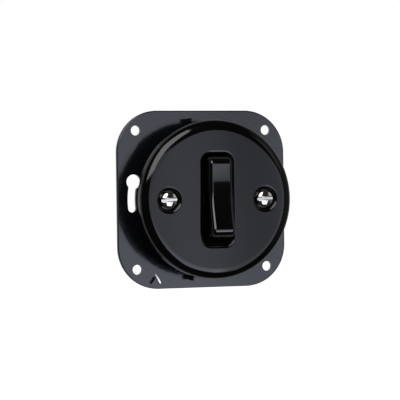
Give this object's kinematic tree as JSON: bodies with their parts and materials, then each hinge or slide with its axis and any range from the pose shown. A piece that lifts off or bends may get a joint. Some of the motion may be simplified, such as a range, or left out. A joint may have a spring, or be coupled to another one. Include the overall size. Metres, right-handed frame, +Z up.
{
  "type": "flush rocker bell push",
  "caption": "Flush-mounted bell push with a black rocker in a round cover on a square support plate, with contacts and terminals behind.",
  "frame": {"origin": "centre of the support plate's back face, on the wall, in the middle of the corner holes", "axes": "+Y into the wall, +Z up, +X to the right as seen from the front, so the front faces -Y"},
  "size_m": [0.072, 0.0472, 0.072],
  "materials": {
    "coated_plate": "smooth black coating, half gloss",
    "gloss_black": "polished black moulding",
    "matt_black": "matt black moulding",
    "ivory": "moulded, satin",
    "hard_paper": "brown laminated sheet",
    "nickel": "bright nickel plating",
    "brass": "turned and rolled brass",
    "plated_steel": "zinc plated",
    "spring_steel": "drawn wire",
    "bronze": "rolled spring bronze",
    "silver": "solid silver tips"
  },
  "bodies": {
    "insert": {"support_plate": "coated_plate", "cover_disc": "gloss_black", "cover_screws": "nickel", "base_housing": "matt_black", "back_cover": "hard_paper", "cover_pillars": "brass", "terminal_strip_left": "brass", "terminal_strip_right": "brass", "terminal_clamps": "plated_steel", "terminal_screws": "plated_steel", "back_cover_screws": "plated_steel", "bracket_screws": "plated_steel", "bearing_bracket": "plated_steel", "pivot_pin": "plated_steel", "return_spring": "spring_steel", "fixed_tips": "silver"},
    "rocker": {"rocker": "gloss_black"},
    "plunger": {"plunger": "ivory", "contact_bridge": "bronze", "bridge_tips": "silver"}
  },
  "joints": [
    {"name": "rocker_hinge", "type": "hinge", "parent": "insert", "child": "rocker", "pos_m": [0, -0.0148, 0], "axis": [1, 0, 0], "range_deg": [0, 12.02]},
    {"name": "plunger_slide", "type": "slide", "parent": "insert", "child": "plunger", "axis": [0, 1, 0], "range_m": [0, 0.0019], "stiffness_N_per_m": 700, "springref_m": -0.00006, "deforming": ["return_spring"]}
  ],
  "couplings": [
    {"joint": "rocker_hinge", "follows": "plunger_slide", "rad_per_m": 110.16}
  ]
}
